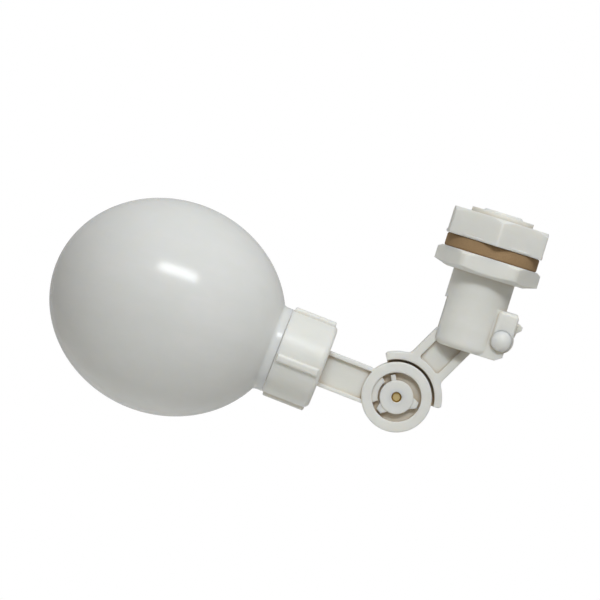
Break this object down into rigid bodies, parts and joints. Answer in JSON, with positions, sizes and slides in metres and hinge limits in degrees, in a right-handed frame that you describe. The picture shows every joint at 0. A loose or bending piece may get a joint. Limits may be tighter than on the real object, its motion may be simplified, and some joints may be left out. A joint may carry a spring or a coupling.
{
  "type": "float valve",
  "caption": "Small plastic float valve: threaded bulkhead body with push-fit inlet, cam lever and plunger, lockable knuckle and ball arm with hollow float.",
  "frame": {"origin": "on the inlet axis, in the flange's seating face under the gasket", "axes": "+Z along the inlet axis, up and out of the tank; the lever and float swing in the XZ plane, with the float towards -X"},
  "size_m": [0.1217, 0.0562, 0.0774],
  "materials": {
    "moulded_white": "satin moulded",
    "float_white": "smooth satin",
    "gasket_tan": "matte",
    "seal_rubber": "matte",
    "brass": "turned",
    "steel": "stamped"
  },
  "bodies": {
    "valve": {"valve_body": "moulded_white", "flange_gasket": "gasket_tan", "inlet_o_ring": "seal_rubber", "inlet_backup_ring": "moulded_white", "inlet_retainer": "moulded_white", "pivot_pin": "moulded_white", "pivot_clip": "moulded_white"},
    "lock_nut": {"lock_nut": "moulded_white"},
    "collet": {"inlet_collet": "moulded_white", "collet_grip_ring": "steel"},
    "plunger": {"plunger": "moulded_white", "plunger_seal": "seal_rubber"},
    "lever": {"lever_arm": "moulded_white", "knuckle_washer": "steel"},
    "ball_arm": {"ball_arm": "moulded_white", "knuckle_nut": "moulded_white", "knuckle_insert": "brass", "union_washer": "seal_rubber", "float_ball": "float_white"},
    "thumb_screw": {"knuckle_stud": "brass", "knuckle_knob": "moulded_white"},
    "union_nut": {"union_nut": "moulded_white"}
  },
  "joints": [
    {"name": "lever_pivot", "type": "hinge", "parent": "valve", "child": "lever", "pos_m": [0.0089, 0, -0.0196], "axis": [0, 1, 0], "range_deg": [0, 28]},
    {"name": "plunger_lift", "type": "slide", "parent": "valve", "child": "plunger", "axis": [0, 0, 1], "range_m": [0, 0.00245]},
    {"name": "knuckle", "type": "hinge", "parent": "lever", "child": "ball_arm", "pos_m": [-0.01259, 0, -0.0417], "axis": [0, 1, 0], "range_deg": [-155, 22]},
    {"name": "thumb_screw_turn", "type": "hinge", "parent": "ball_arm", "child": "thumb_screw", "pos_m": [-0.01259, 0, -0.0417], "axis": [0, 1, 0], "continuous": true},
    {"name": "union_nut_turn", "type": "hinge", "parent": "ball_arm", "child": "union_nut", "pos_m": [-0.01259, 0, -0.0417], "axis": [-0.9974, 0, 0.0715], "continuous": true},
    {"name": "lock_nut_turn", "type": "hinge", "parent": "valve", "child": "lock_nut", "pos_m": [0, 0, 0.007], "axis": [0, 0, 1], "continuous": true},
    {"name": "collet_press", "type": "slide", "parent": "valve", "child": "collet", "axis": [0, 0, -1], "range_m": [0, 0.0009]}
  ],
  "couplings": [
    {"joint": "plunger_lift", "follows": "lever_pivot", "m_per_rad": 0.005}
  ]
}
